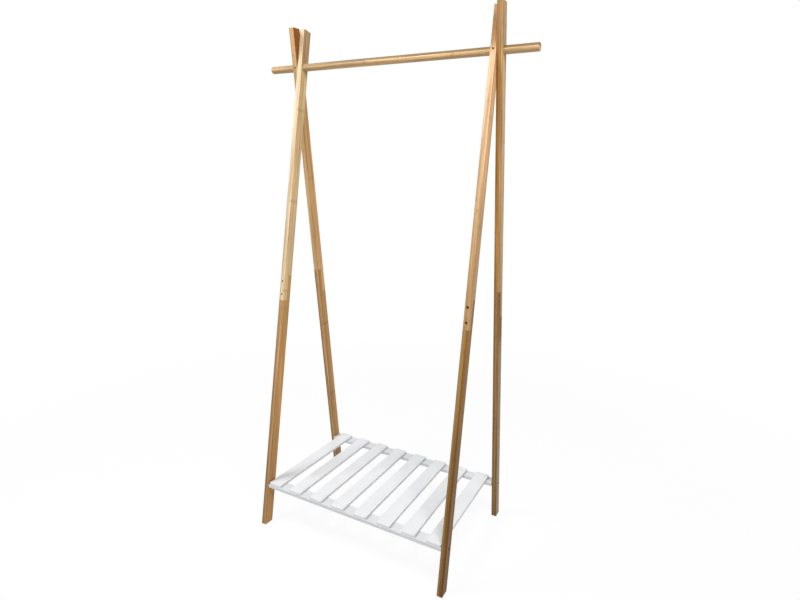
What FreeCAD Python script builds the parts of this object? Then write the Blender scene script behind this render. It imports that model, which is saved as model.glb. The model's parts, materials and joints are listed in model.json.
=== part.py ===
"""Bamboo clothes stand: two frames of crossed legs, a hanging rail and a white slatted shelf.

Millimetres. X runs along the hanging rail, Y towards the back and Z up. The origin lies on the
floor, midway between the four feet. Every leg is two bars joined by a bolted half lap.
"""
import FreeCAD
import Part
import Sketcher
import os
from collections import namedtuple

Vector = FreeCAD.Vector
Rotation = FreeCAD.Rotation
Placement = FreeCAD.Placement

# Driving sizes, as alias, value and meaning
SIZES = [
    ("rail_height", 1480, "axis of the hanging rail above the floor"),
    ("rail_diameter", 22, "hanging rail"),
    ("rail_overhang", 95.5, "free end of the rail outside each frame"),
    ("rail_end_round", 2, "rounding of the rail's ends"),
    ("rail_clearance", 0.2, "radial play of the rail in its bores"),
    ("clear_width", 636, "between the inner legs, where clothes hang"),
    ("leg_thickness", 18, "leg bar along the rail"),
    ("bore_wall", 2.8, "bamboo left in front of and behind the rail's bore"),
    ("leg_gap", 0.4, "between the two crossed legs of a frame"),
    ("leg_edge_round", 1.5, "rounding of a leg's long edges and of its top"),
    ("leg_top_reach", 115.5, "leg above the rail's axis, along the leg"),
    ("foot_offset", 192, "leg's axis on the floor from the middle plane"),
    ("lap_drop", 705, "middle of the half lap below the rail's axis, along the leg"),
    ("lap_length", 82, "half lap along the leg"),
    ("lap_gap", 0.4, "open seam at each end of the lap"),
    ("lap_bolt_spacing", 42, "between the two bolts of a lap"),
    ("bolt_diameter", 5, "lap bolt's shank"),
    ("bolt_head_diameter", 8.5, "lap bolt's socket head"),
    ("bolt_head_height", 5, "lap bolt's socket head"),
    ("bolt_head_recess", 3.5, "head below the leg's face"),
    ("bolt_socket", 4, "key size of the lap bolt"),
    ("bolt_socket_depth", 2.5, "depth of the key's socket"),
    ("bolt_tip_inset", 1.5, "bolt's tip below the leg's other face"),
    ("bolt_taper", 0.8, "chamfered tip of the bolt"),
    ("bolt_clearance", 0.2, "radial play of the bolts in their holes"),
    ("insert_diameter", 7, "threaded insert in the tongue under the bolt's tip"),
    ("insert_floor", 2, "bamboo between the insert and the lap's face"),
    ("insert_recess", 0.3, "insert below the leg's face"),
    ("insert_clearance", 0.05, "radial play of the insert and of the bolt in it"),
    ("lock_diameter", 6, "screw that locks the rail"),
    ("lock_socket", 3, "key size of the lock screw"),
    ("lock_socket_depth", 3, "depth of the key's socket"),
    ("lock_recess", 1, "lock screw below the leg's face"),
    ("lock_tip_gap", 1, "lock screw's tip above the floor of its hole"),
    ("lock_taper", 1.5, "tapered tip of the lock screw"),
    ("lock_clearance", 0.2, "radial play of the lock screw"),
    ("shelf_height", 143, "top of the slats above the floor"),
    ("slat_count", 8, "slats"),
    ("slat_width", 46, "slat along the rail"),
    ("slat_thickness", 8, "slat"),
    ("slat_side_gap", 2, "outer slat from the inner leg"),
    ("slat_end_setback", 1.5, "slat's end behind the shelf rail's face"),
    ("slat_corner_round", 5, "slat's corners, seen from above"),
    ("slat_edge_round", 1.2, "rounding of the slat's upper edge"),
    ("shelf_rail_width", 35, "shelf rail, front to back"),
    ("shelf_rail_thickness", 10, "shelf rail"),
    ("shelf_rail_edge_round", 1, "rounding of the shelf rail's long edges"),
    ("shelf_screw_diameter", 4, "screw through a leg into a shelf rail"),
    ("shelf_screw_head", 8, "head's diameter"),
    ("shelf_screw_head_height", 4, "head"),
    ("shelf_screw_recess", 2, "head below the leg's outer face"),
    ("shelf_screw_socket", 3, "key size"),
    ("shelf_screw_socket_depth", 2.5, "depth of the key's socket"),
    ("shelf_screw_grip", 30, "screw inside the shelf rail"),
    ("shelf_screw_taper", 4, "tapered tip"),
    ("slat_screw_diameter", 3, "screw through a shelf rail into a slat"),
    ("slat_screw_head", 6.5, "head's diameter"),
    ("slat_screw_head_height", 2.5, "head"),
    ("slat_screw_recess", 0.5, "head below the shelf rail's underside"),
    ("slat_screw_socket", 2.5, "key size"),
    ("slat_screw_socket_depth", 1.5, "depth of the key's socket"),
    ("slat_screw_cover", 2.5, "slat left above the screw's hole"),
    ("slat_screw_taper", 2, "tapered tip"),
    ("screw_clearance", 0.15, "radial play of the wood screws"),
    ("screw_tip_gap", 0.5, "wood screw's tip from the end of its hole"),
    ("tip_share", 0.4, "a tapered tip's diameter as a share of its shank's"),
]

# Sizes that follow from the driving ones
LEAN = "atan(Sizes.foot_offset / Sizes.rail_height)"
LEG_RUN = f"(Sizes.rail_height / cos({LEAN}))"
HALF_DEPTH = "(Sizes.rail_diameter / 2 + Sizes.rail_clearance + Sizes.bore_wall)"
HALF_THICKNESS = "(Sizes.leg_thickness / 2)"
LAP_TOP = "(Sizes.lap_drop - Sizes.lap_length / 2)"
LAP_END = "(Sizes.lap_drop + Sizes.lap_length / 2)"
BOLT_BORE = "(Sizes.bolt_diameter + 2 * Sizes.bolt_clearance)"
BOLT_SEAT = f"({HALF_DEPTH} - Sizes.bolt_head_height - Sizes.bolt_head_recess)"
BOLT_LENGTH = f"({HALF_DEPTH} + {BOLT_SEAT} - Sizes.bolt_tip_inset)"
INSERT_LENGTH = f"({HALF_DEPTH} - Sizes.insert_floor - Sizes.insert_recess)"
LOCK_LENGTH = f"({HALF_DEPTH} - Sizes.lock_recess - Sizes.lock_tip_gap)"
LOCK_BORE = "(Sizes.lock_diameter + 2 * Sizes.lock_clearance)"
RAIL_LENGTH = ("(Sizes.clear_width + 4 * Sizes.leg_thickness + 2 * Sizes.leg_gap"
               " + 2 * Sizes.rail_overhang)")
INNER_LEG_X = f"(Sizes.clear_width / 2 + {HALF_THICKNESS})"
OUTER_LEG_X = f"({INNER_LEG_X} + Sizes.leg_thickness + Sizes.leg_gap)"
SHELF_RAIL_Z = "(Sizes.shelf_height - Sizes.slat_thickness - Sizes.shelf_rail_thickness / 2)"
SHELF_SCREW_Y = f"(Sizes.foot_offset * (1 - {SHELF_RAIL_Z} / Sizes.rail_height))"
SHELF_SCREW_DROP = f"((Sizes.rail_height - {SHELF_RAIL_Z}) / cos({LEAN}))"
SHELF_FACE_Y = f"({SHELF_SCREW_Y} + {HALF_DEPTH} / cos({LEAN}))"
SHELF_RAIL_Y = f"({SHELF_FACE_Y} - Sizes.shelf_rail_width / 2)"
SHELF_SCREW_SEAT = f"({HALF_THICKNESS} - Sizes.shelf_screw_head_height - Sizes.shelf_screw_recess)"
SHELF_SCREW_LENGTH = f"({SHELF_SCREW_SEAT} + {HALF_THICKNESS} + Sizes.shelf_screw_grip)"
SHELF_SCREW_BORE = "(Sizes.shelf_screw_diameter + 2 * Sizes.screw_clearance)"
SLAT_SCREW_BORE = "(Sizes.slat_screw_diameter + 2 * Sizes.screw_clearance)"
SLAT_SCREW_SINK = "(Sizes.slat_screw_head_height + Sizes.slat_screw_recess)"
SLAT_SCREW_HOLE = "(Sizes.slat_thickness - Sizes.slat_screw_cover)"
SLAT_SCREW_LENGTH = (f"(Sizes.shelf_rail_thickness - {SLAT_SCREW_SINK} + {SLAT_SCREW_HOLE}"
                     " - Sizes.screw_tip_gap)")
SLAT_LENGTH = f"(2 * ({SHELF_FACE_Y} - Sizes.slat_end_setback))"
SLAT_SPAN = "(Sizes.clear_width - 2 * Sizes.slat_side_gap - Sizes.slat_width)"
SLAT_PITCH = f"({SLAT_SPAN} / (Sizes.slat_count - 1))"

# Each leg's side (-1 left, 1 right), and where its foot, bolt heads and lock screw are (-1 front, 1 rear)
Leg = namedtuple("Leg", "name side foot bolt_face lock_face")
LEGS = [
    Leg("front_left", -1, -1, 1, 1),
    Leg("rear_left", -1, 1, 1, -1),
    Leg("front_right", 1, -1, -1, -1),
    Leg("rear_right", 1, 1, 1, 1),
]

# Which way each origin plane's normal points along the axis that it is square to
NORMALS = {"XY_Plane": 1, "XZ_Plane": -1, "YZ_Plane": 1}

# Angles in degrees
FULL_TURN = 360
RIGHT_ANGLE = 90
SOCKET_TURN = 15
SOCKET_SIDES = 6

# Lengths that differ by less than this are the same
ROUNDING = 1e-6

doc = FreeCAD.newDocument("ClothesStand")
sheet = doc.addObject("Spreadsheet::Sheet", "Sizes")
for row, (alias, value, meaning) in enumerate(SIZES, start=1):
    sheet.set(f"A{row}", meaning)
    sheet.set(f"B{row}", str(value))
    sheet.setAlias(f"B{row}", alias)
doc.recompute()


def work_out(expression):
    """The number that an expression of the sheet's sizes gives."""
    result = sheet.evalExpression(expression)
    return getattr(result, "Value", result)


def new_body(name):
    """An empty body whose label names the node."""
    body = doc.addObject("PartDesign::Body", name)
    body.Label = name
    return body


def origin_feature(body, role):
    """One of the body's own origin planes or axes."""
    return next(item for item in body.Origin.OriginFeatures if item.Role == role)


def new_sketch(body, name, role, lift="0"):
    """A sketch on one of the body's origin planes, lifted along the axis that the plane is square to."""
    sketch = body.newObject("Sketcher::SketchObject", name)
    sketch.AttachmentSupport = [(origin_feature(body, role), "")]
    sketch.MapMode = "FlatFace"
    if lift != "0":
        sketch.setExpression(".AttachmentOffset.Base.z", f"{NORMALS[role]} * ({lift})")
    return sketch


def hold_point(sketch, edge, end, place):
    """Ties a point of a sketch to its two expressions, or to an axis where one is zero."""
    for kind, axis, expression in (("DistanceX", -2, place[0]), ("DistanceY", -1, place[1])):
        if expression == "0":
            sketch.addConstraint(Sketcher.Constraint("PointOnObject", edge, end, axis))
            continue
        constraint = Sketcher.Constraint(kind, -1, 1, edge, end, work_out(expression))
        index = sketch.addConstraint(constraint)
        sketch.setExpression(f"Constraints[{index}]", expression)


def draw_outline(sketch, corners):
    """A closed outline of straight edges through corners given as pairs of expressions."""
    places = [Vector(work_out(x), work_out(y), 0) for x, y in corners]
    count = len(corners)
    for index in range(count):
        sketch.addGeometry(Part.LineSegment(places[index], places[(index + 1) % count]))
    for index in range(count):
        sketch.addConstraint(Sketcher.Constraint("Coincident", index, 2, (index + 1) % count, 1))
    for index, corner in enumerate(corners):
        hold_point(sketch, index, 1, corner)


def draw_rectangle(sketch, width, height):
    """A rectangle about the sketch's origin."""
    right, top = f"({width}) / 2", f"({height}) / 2"
    left, bottom = f"-({width}) / 2", f"-({height}) / 2"
    draw_outline(sketch, [(left, bottom), (right, bottom), (right, top), (left, top)])


def draw_circle(sketch, centre, diameter):
    """A circle whose centre is a pair of expressions."""
    place = Vector(work_out(centre[0]), work_out(centre[1]), 0)
    edge = sketch.addGeometry(Part.Circle(place, Vector(0, 0, 1), work_out(diameter) / 2))
    hold_point(sketch, edge, 3, centre)
    index = sketch.addConstraint(Sketcher.Constraint("Diameter", edge, work_out(diameter)))
    sketch.setExpression(f"Constraints[{index}]", diameter)


def add_pad(body, sketch, name, length, both_ways=False):
    """Pads a sketch along its normal, or evenly to both sides."""
    pad = body.newObject("PartDesign::Pad", name)
    pad.Profile = sketch
    pad.SideType = "Symmetric" if both_ways else "One side"
    pad.setExpression("Length", length)
    doc.recompute()
    return pad


def add_pocket(body, sketch, name, role, toward, depth=None):
    """Pockets a sketch along its axis, towards 1 or -1, or right through both ways with 0."""
    before = body.Shape.Volume
    pocket = body.newObject("PartDesign::Pocket", name)
    pocket.Profile = sketch
    pocket.Reversed = toward == NORMALS[role]
    if toward == 0:
        pocket.SideType = "Symmetric"
    if depth is None:
        pocket.Type = "ThroughAll"
    else:
        pocket.setExpression("Length", depth)
    doc.recompute()
    if body.Shape.Volume >= before:
        raise RuntimeError(f"{body.Label}: {name} cuts nothing")
    return pocket


def drill(body, name, role, centres, diameter, toward, lift="0", depth=None):
    """Round holes square to an origin plane, starting from a lifted sketch."""
    sketch = new_sketch(body, f"{name}_sketch", role, lift)
    for centre in centres:
        draw_circle(sketch, centre, diameter)
    return add_pocket(body, sketch, name, role, toward, depth)


def add_fillet(body, base, name, radius, wanted):
    """Rounds the edges of a feature that a test picks."""
    edges = [f"Edge{index}" for index, edge in enumerate(base.Shape.Edges, start=1) if wanted(edge)]
    fillet = body.newObject("PartDesign::Fillet", name)
    fillet.Base = (base, edges)
    fillet.setExpression("Radius", radius)
    doc.recompute()
    return fillet


def same(one, other):
    """Whether two lengths agree but for rounding."""
    return abs(one - other) < ROUNDING


def runs_along(edge, axis):
    """Whether an edge is straight and parallel to an axis."""
    start, end = edge.Vertexes[0].Point, edge.Vertexes[-1].Point
    return (end - start).cross(axis).Length < ROUNDING


def lies_at_height(edge, height):
    """Whether an edge lies wholly in the plane at a local height."""
    box = edge.BoundBox
    return same(box.ZMin, height) and same(box.ZMax, height)


def is_leg_corner(edge):
    """Whether an edge is one of a leg bar's four long corners."""
    middle = edge.BoundBox.Center
    on_side = same(abs(middle.x), work_out(HALF_THICKNESS))
    on_face = same(abs(middle.y), work_out(HALF_DEPTH))
    return on_side and on_face and runs_along(edge, Vector(0, 0, 1))


def leg_lean(leg):
    """The turn about the rail that swings a leg's foot out."""
    return Rotation(Vector(leg.foot, 0, 0), work_out(LEAN))


def seat_leg(body, leg):
    """Stands a leg on its axis: the rail's axis is the leg's origin and its foot leans out."""
    body.Placement = Placement(Vector(0, 0, 0), leg_lean(leg))
    body.setExpression("Placement.Rotation.Angle", LEAN)
    body.setExpression("Placement.Base.x", leg_x(leg))
    body.setExpression("Placement.Base.z", "Sizes.rail_height")


def leg_x(leg):
    """Where a leg stands along the rail: front feet belong to the inner legs."""
    return f"{leg.side} * {INNER_LEG_X if leg.foot < 0 else OUTER_LEG_X}"


def lap_places():
    """The two bolt places of a lap, on the leg's own XZ plane."""
    half = "Sizes.lap_bolt_spacing / 2"
    return [("0", f"-(Sizes.lap_drop - {half})"), ("0", f"-(Sizes.lap_drop + {half})")]


def drill_tongue(body, leg, face):
    """Drills the tongue on a leg's front (-1) or rear (1): counterbores for heads, or seats for inserts."""
    drill(body, "bolt_holes", "XZ_Plane", lap_places(), BOLT_BORE, face)
    if face == leg.bolt_face:
        head_bore = "Sizes.bolt_head_diameter + 2 * Sizes.bolt_clearance"
        drill(body, "head_holes", "XZ_Plane", lap_places(), head_bore, face, f"{face} * {BOLT_SEAT}")
    else:
        insert_bore = "Sizes.insert_diameter + 2 * Sizes.insert_clearance"
        drill(body, "insert_holes", "XZ_Plane", lap_places(), insert_bore, face,
              f"{face} * Sizes.insert_floor")


def make_upper_leg(leg):
    """The upper bar of a leg, with the rail's bore and a lap tongue on the side that its foot leans to."""
    body = new_body(f"{leg.name}_upper_leg")
    outer = f"{leg.foot} * {HALF_DEPTH}"
    inner = f"{-leg.foot} * {HALF_DEPTH}"
    top = "Sizes.leg_top_reach"
    tongue_end = f"-({LAP_END} - Sizes.lap_gap)"
    side = new_sketch(body, "upper_side", "YZ_Plane")
    draw_outline(side, [(inner, top), (outer, top), (outer, tongue_end), ("0", tongue_end),
                        ("0", f"-{LAP_TOP}"), (inner, f"-{LAP_TOP}")])
    bar = add_pad(body, side, "upper_bar", "Sizes.leg_thickness", both_ways=True)
    crown = work_out(top)
    add_fillet(body, bar, "upper_round", "Sizes.leg_edge_round",
               lambda edge: is_leg_corner(edge) or lies_at_height(edge, crown))
    rail_bore = "Sizes.rail_diameter + 2 * Sizes.rail_clearance"
    drill(body, "rail_bore", "YZ_Plane", [("0", "0")], rail_bore, 0)
    drill(body, "lock_hole", "XZ_Plane", [("0", "0")], LOCK_BORE, leg.lock_face)
    drill_tongue(body, leg, leg.foot)
    seat_leg(body, leg)
    return body


def make_lower_leg(leg):
    """The lower bar of a leg, with the lap's other tongue and a foot cut level."""
    body = new_body(f"{leg.name}_lower_leg")
    outer = f"{leg.foot} * {HALF_DEPTH}"
    inner = f"{-leg.foot} * {HALF_DEPTH}"
    tongue_top = f"-({LAP_TOP} + Sizes.lap_gap)"
    foot_rise = f"{HALF_DEPTH} * tan({LEAN})"
    side = new_sketch(body, "lower_side", "YZ_Plane")
    draw_outline(side, [(inner, tongue_top), ("0", tongue_top), ("0", f"-{LAP_END}"),
                        (outer, f"-{LAP_END}"), (outer, f"-({LEG_RUN} + {foot_rise})"),
                        (inner, f"-({LEG_RUN} - {foot_rise})")])
    bar = add_pad(body, side, "lower_bar", "Sizes.leg_thickness", both_ways=True)
    add_fillet(body, bar, "lower_round", "Sizes.leg_edge_round", is_leg_corner)
    drill_tongue(body, leg, -leg.foot)
    screw_place = [("0", f"-{SHELF_SCREW_DROP}")]
    drill(body, "shelf_screw_hole", "YZ_Plane", screw_place, SHELF_SCREW_BORE, 0)
    screw_head_bore = "Sizes.shelf_screw_head + 2 * Sizes.screw_clearance"
    drill(body, "shelf_screw_head_hole", "YZ_Plane", screw_place, screw_head_bore, leg.side,
          f"{leg.side} * {SHELF_SCREW_SEAT}")
    seat_leg(body, leg)
    return body


def make_hanging_rail():
    """The round rail, with a blind hole to its axis for each leg's lock screw."""
    body = new_body("hanging_rail")
    section = new_sketch(body, "rail_section", "YZ_Plane")
    draw_circle(section, ("0", "0"), "Sizes.rail_diameter")
    rod = add_pad(body, section, "rail_rod", RAIL_LENGTH, both_ways=True)
    add_fillet(body, rod, "rail_ends", "Sizes.rail_end_round",
               lambda edge: same(edge.BoundBox.XLength, 0))
    for leg in LEGS:
        sketch = new_sketch(body, f"{leg.name}_lock_sketch", "XZ_Plane")
        sketch.AttachmentOffset = Placement(Vector(0, 0, 0), leg_lean(leg))
        sketch.setExpression(".AttachmentOffset.Rotation.Angle", LEAN)
        draw_circle(sketch, (leg_x(leg), "0"), LOCK_BORE)
        add_pocket(body, sketch, f"{leg.name}_lock_hole", "XZ_Plane", leg.lock_face)
    body.setExpression("Placement.Base.z", "Sizes.rail_height")
    return body


def make_shelf_rail(name, end, length):
    """A flat bar under the slats' front (-1) or rear (1) ends, screwed between two legs."""
    body = new_body(name)
    section = new_sketch(body, "bar_section", "YZ_Plane")
    draw_rectangle(section, "Sizes.shelf_rail_width", "Sizes.shelf_rail_thickness")
    bar = add_pad(body, section, "bar", length, both_ways=True)
    add_fillet(body, bar, "bar_round", "Sizes.shelf_rail_edge_round",
               lambda edge: runs_along(edge, Vector(1, 0, 0)))
    screw_y = f"{end} * ({SHELF_SCREW_Y} - {SHELF_RAIL_Y})"
    screw_depth = "Sizes.shelf_screw_grip + Sizes.screw_tip_gap"
    for side, side_name in ((-1, "left"), (1, "right")):
        drill(body, f"{side_name}_end_hole", "YZ_Plane", [(screw_y, "0")], SHELF_SCREW_BORE, -side,
              f"{side} * ({length}) / 2", screw_depth)
    first_slat = [(f"-{SLAT_SPAN} / 2", "0")]
    shank = drill(body, "slat_screw_hole", "XY_Plane", first_slat, SLAT_SCREW_BORE, 0)
    head_bore = "Sizes.slat_screw_head + 2 * Sizes.screw_clearance"
    sink = drill(body, "slat_screw_sink", "XY_Plane", first_slat, head_bore, -1,
                 f"{SLAT_SCREW_SINK} - Sizes.shelf_rail_thickness / 2")
    before = body.Shape.Volume
    row = body.newObject("PartDesign::LinearPattern", "slat_screw_row")
    row.Originals = [shank, sink]
    row.Direction = (origin_feature(body, "X_Axis"), [""])
    row.setExpression("Length", SLAT_SPAN)
    row.setExpression("Occurrences", "Sizes.slat_count")
    body.Tip = row
    doc.recompute()
    if body.Shape.Volume >= before:
        raise RuntimeError(f"{name}: the row of screw holes cuts nothing")
    body.setExpression("Placement.Base.y", f"{end} * {SHELF_RAIL_Y}")
    body.setExpression("Placement.Base.z", SHELF_RAIL_Z)
    return body


def make_slat(number):
    """A shelf board with rounded corners and upper edges, and a blind hole over each shelf rail."""
    body = new_body(f"shelf_slat_{number}")
    plan = new_sketch(body, "slat_plan", "XY_Plane")
    draw_rectangle(plan, "Sizes.slat_width", SLAT_LENGTH)
    board = add_pad(body, plan, "slat_board", "Sizes.slat_thickness")
    corners = add_fillet(body, board, "slat_corners", "Sizes.slat_corner_round",
                         lambda edge: runs_along(edge, Vector(0, 0, 1)))
    top = work_out("Sizes.slat_thickness")
    add_fillet(body, corners, "slat_top_round", "Sizes.slat_edge_round",
               lambda edge: lies_at_height(edge, top))
    places = [("0", f"{end} * {SHELF_RAIL_Y}") for end in (-1, 1)]
    drill(body, "screw_holes", "XY_Plane", places, SLAT_SCREW_BORE, 1, "0", SLAT_SCREW_HOLE)
    body.setExpression("Placement.Base.x", f"{SLAT_PITCH} * {number - 1} - {SLAT_SPAN} / 2")
    body.setExpression("Placement.Base.z", "Sizes.shelf_height - Sizes.slat_thickness")
    return body


def cut_socket(body, key, depth, lift="0"):
    """A six-sided key socket that opens downwards along the fastener's axis."""
    reach = f"({key} / 2 / cos({FULL_TURN} deg / {SOCKET_SIDES} / 2))"
    corners = []
    for index in range(SOCKET_SIDES):
        turn = f"({SOCKET_TURN} deg + {index} * {FULL_TURN} deg / {SOCKET_SIDES})"
        corners.append((f"{reach} * cos({turn})", f"{reach} * sin({turn})"))
    sketch = new_sketch(body, "socket_sketch", "XY_Plane", lift)
    draw_outline(sketch, corners)
    add_pocket(body, sketch, "socket", "XY_Plane", 1, depth)


def turn_profile(body, corners):
    """Revolves a half profile about the fastener's axis."""
    profile = new_sketch(body, "turned_profile", "XZ_Plane")
    draw_outline(profile, corners)
    turned = body.newObject("PartDesign::Revolution", "turned")
    turned.Profile = profile
    turned.ReferenceAxis = (profile, ["V_Axis"])
    turned.Angle = FULL_TURN
    doc.recompute()


def make_headed_screw(name, head, head_height, shank, length, taper, socket, socket_depth):
    """A screw along Z whose head's underside is its origin, with a key socket in the head."""
    body = doc.addObject("PartDesign::Body", name)
    turn_profile(body, [("0", f"-{head_height}"), (f"{head} / 2", f"-{head_height}"), (f"{head} / 2", "0"),
                        (f"{shank} / 2", "0"), (f"{shank} / 2", f"{length} - {taper}"),
                        (f"{shank} / 2 * Sizes.tip_share", length), ("0", length)])
    cut_socket(body, socket, socket_depth, f"-{head_height}")
    return body


def make_lock_screw():
    """A headless screw along Z with a tapered tip, driven by a key socket at its origin."""
    body = doc.addObject("PartDesign::Body", "lock_screw_pattern")
    radius = "Sizes.lock_diameter / 2"
    turn_profile(body, [("0", "0"), (radius, "0"), (radius, f"{LOCK_LENGTH} - Sizes.lock_taper"),
                        (f"{radius} * Sizes.tip_share", LOCK_LENGTH), ("0", LOCK_LENGTH)])
    cut_socket(body, "Sizes.lock_socket", "Sizes.lock_socket_depth")
    return body


def make_insert():
    """A plain threaded insert along Z, bored for the lap bolt."""
    body = doc.addObject("PartDesign::Body", "lap_insert_pattern")
    ring = new_sketch(body, "insert_ring", "XY_Plane")
    draw_circle(ring, ("0", "0"), "Sizes.insert_diameter")
    draw_circle(ring, ("0", "0"), "Sizes.bolt_diameter + 2 * Sizes.insert_clearance")
    add_pad(body, ring, "insert_sleeve", INSERT_LENGTH)
    return body


def make_group(name, pattern, places):
    """A node of separate solids: the pattern's shape copied to each place."""
    group = doc.addObject("Part::Feature", name)
    group.Label = name
    solids = []
    for place in places:
        solid = pattern.Shape.copy()
        solid.Placement = place.multiply(solid.Placement)
        solids.append(solid)
    group.Shape = Part.makeCompound(solids)
    return group


def leg_place(leg, offset, axis, angle):
    """A place on a leg, from an offset in the leg's own frame and a turn about one of its axes."""
    stand = Placement(Vector(work_out(leg_x(leg)), 0, work_out("Sizes.rail_height")), leg_lean(leg))
    return stand.multiply(Placement(offset, Rotation(axis, angle)))


def across_leg(leg, face, depth_place, drop):
    """A place on a leg's middle line for a fastener that points inwards from its front (-1) or rear (1)."""
    offset = Vector(0, face * work_out(depth_place), -work_out(drop))
    return leg_place(leg, offset, Vector(1, 0, 0), face * RIGHT_ANGLE)


def lap_drops():
    """How far the two bolts of a lap lie below the rail, along the leg."""
    return [f"Sizes.lap_drop + {turn} * Sizes.lap_bolt_spacing / 2" for turn in (-1, 1)]


def make_fasteners():
    """The five groups of fasteners, each copied to its seats."""
    bolt = make_headed_screw("lap_bolt_pattern", "Sizes.bolt_head_diameter", "Sizes.bolt_head_height",
                             "Sizes.bolt_diameter", BOLT_LENGTH, "Sizes.bolt_taper", "Sizes.bolt_socket",
                             "Sizes.bolt_socket_depth")
    shelf_screw = make_headed_screw("shelf_screw_pattern", "Sizes.shelf_screw_head",
                                    "Sizes.shelf_screw_head_height", "Sizes.shelf_screw_diameter",
                                    SHELF_SCREW_LENGTH, "Sizes.shelf_screw_taper",
                                    "Sizes.shelf_screw_socket", "Sizes.shelf_screw_socket_depth")
    slat_screw = make_headed_screw("slat_screw_pattern", "Sizes.slat_screw_head",
                                   "Sizes.slat_screw_head_height", "Sizes.slat_screw_diameter",
                                   SLAT_SCREW_LENGTH, "Sizes.slat_screw_taper",
                                   "Sizes.slat_screw_socket", "Sizes.slat_screw_socket_depth")
    laps = [(leg, drop) for leg in LEGS for drop in lap_drops()]
    insert_end = f"-({HALF_DEPTH} - Sizes.insert_recess - {INSERT_LENGTH})"
    lock_end = f"{HALF_DEPTH} - Sizes.lock_recess"
    shelf_places = []
    for leg in LEGS:
        seat = Vector(leg.side * work_out(SHELF_SCREW_SEAT), 0, -work_out(SHELF_SCREW_DROP))
        shelf_places.append(leg_place(leg, seat, Vector(0, 1, 0), -leg.side * RIGHT_ANGLE))
    slat_z = work_out(f"{SHELF_RAIL_Z} - Sizes.shelf_rail_thickness / 2 + {SLAT_SCREW_SINK}")
    slat_places = []
    for end in (-1, 1):
        for index in range(int(work_out("Sizes.slat_count"))):
            slat_x = work_out(f"{SLAT_PITCH} * {index} - {SLAT_SPAN} / 2")
            slat_places.append(Placement(Vector(slat_x, end * work_out(SHELF_RAIL_Y), slat_z), Rotation()))
    return [
        make_group("lap_bolts", bolt,
                   [across_leg(leg, leg.bolt_face, BOLT_SEAT, drop) for leg, drop in laps]),
        make_group("lap_inserts", make_insert(),
                   [across_leg(leg, leg.bolt_face, insert_end, drop) for leg, drop in laps]),
        make_group("rail_lock_screws", make_lock_screw(),
                   [across_leg(leg, leg.lock_face, lock_end, "0") for leg in LEGS]),
        make_group("shelf_screws", shelf_screw, shelf_places),
        make_group("slat_screws", slat_screw, slat_places),
    ]


def make_all():
    """Every node of the stand."""
    nodes = [make_upper_leg(leg) for leg in LEGS]
    nodes += [make_lower_leg(leg) for leg in LEGS]
    nodes.append(make_hanging_rail())
    nodes.append(make_shelf_rail("shelf_front_rail", -1, "Sizes.clear_width"))
    rear_length = "Sizes.clear_width + 2 * Sizes.leg_thickness + 2 * Sizes.leg_gap"
    nodes.append(make_shelf_rail("shelf_rear_rail", 1, rear_length))
    nodes += [make_slat(number) for number in range(1, int(work_out("Sizes.slat_count")) + 1)]
    nodes += make_fasteners()
    return nodes


def check_all(nodes):
    """Stops if any object failed or any node's shape is missing or broken."""
    for item in doc.Objects:
        if "Invalid" in item.State or "Error" in item.State:
            raise RuntimeError(f"{item.Label} failed: {item.State}")
    for node in nodes:
        if node.Shape.isNull() or not node.Shape.isValid() or not node.Shape.Solids:
            raise RuntimeError(f"{node.Label} has no valid shape")


stand_nodes = make_all()
doc.recompute()
check_all(stand_nodes)
os.makedirs("parts", exist_ok=True)
for node in stand_nodes:
    node.Shape.exportStep(f"parts/{node.Label}.step")
    print(node.Label, len(node.Shape.Solids), round(node.Shape.Volume))
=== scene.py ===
"""Looks of a bamboo clothes stand: strip-laminated legs and rail, a white slatted shelf, small screws.

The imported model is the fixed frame. Its nodes keep their shapes and get their finishes here, and a plain
studio stands around them. Lengths are in metres.
"""

import json
import logging
import math
from dataclasses import dataclass, field
from enum import Enum
from typing import Any

import bpy
from mathutils import Matrix, Vector

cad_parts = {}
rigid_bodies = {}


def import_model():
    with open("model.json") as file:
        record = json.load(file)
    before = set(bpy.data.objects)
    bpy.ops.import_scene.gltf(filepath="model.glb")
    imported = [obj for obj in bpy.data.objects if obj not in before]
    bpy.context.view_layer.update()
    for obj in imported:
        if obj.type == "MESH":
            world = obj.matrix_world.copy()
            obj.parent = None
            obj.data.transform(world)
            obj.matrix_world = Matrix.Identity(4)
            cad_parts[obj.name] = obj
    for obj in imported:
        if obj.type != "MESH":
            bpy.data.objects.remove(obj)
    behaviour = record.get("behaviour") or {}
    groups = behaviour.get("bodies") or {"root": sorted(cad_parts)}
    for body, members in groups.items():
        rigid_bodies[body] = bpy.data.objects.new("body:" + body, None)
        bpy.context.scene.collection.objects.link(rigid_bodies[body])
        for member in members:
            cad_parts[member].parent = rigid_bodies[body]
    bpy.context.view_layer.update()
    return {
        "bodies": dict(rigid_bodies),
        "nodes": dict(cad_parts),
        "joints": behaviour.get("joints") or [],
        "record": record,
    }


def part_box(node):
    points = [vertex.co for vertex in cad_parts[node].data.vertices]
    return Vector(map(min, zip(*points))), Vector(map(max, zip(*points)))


LOG = logging.getLogger("clothes_stand")
MM = 0.001
QUARTER_TURN = math.pi / 2

# The curve between a screen's levels and linear light: a straight toe, then a power
SCREEN_LEVELS = 255
TOE_END = 0.04045
TOE_SLOPE = 12.92
CURVE_LIFT = 0.055
CURVE_POWER = 2.4

Triple = tuple[float, float, float]


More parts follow.
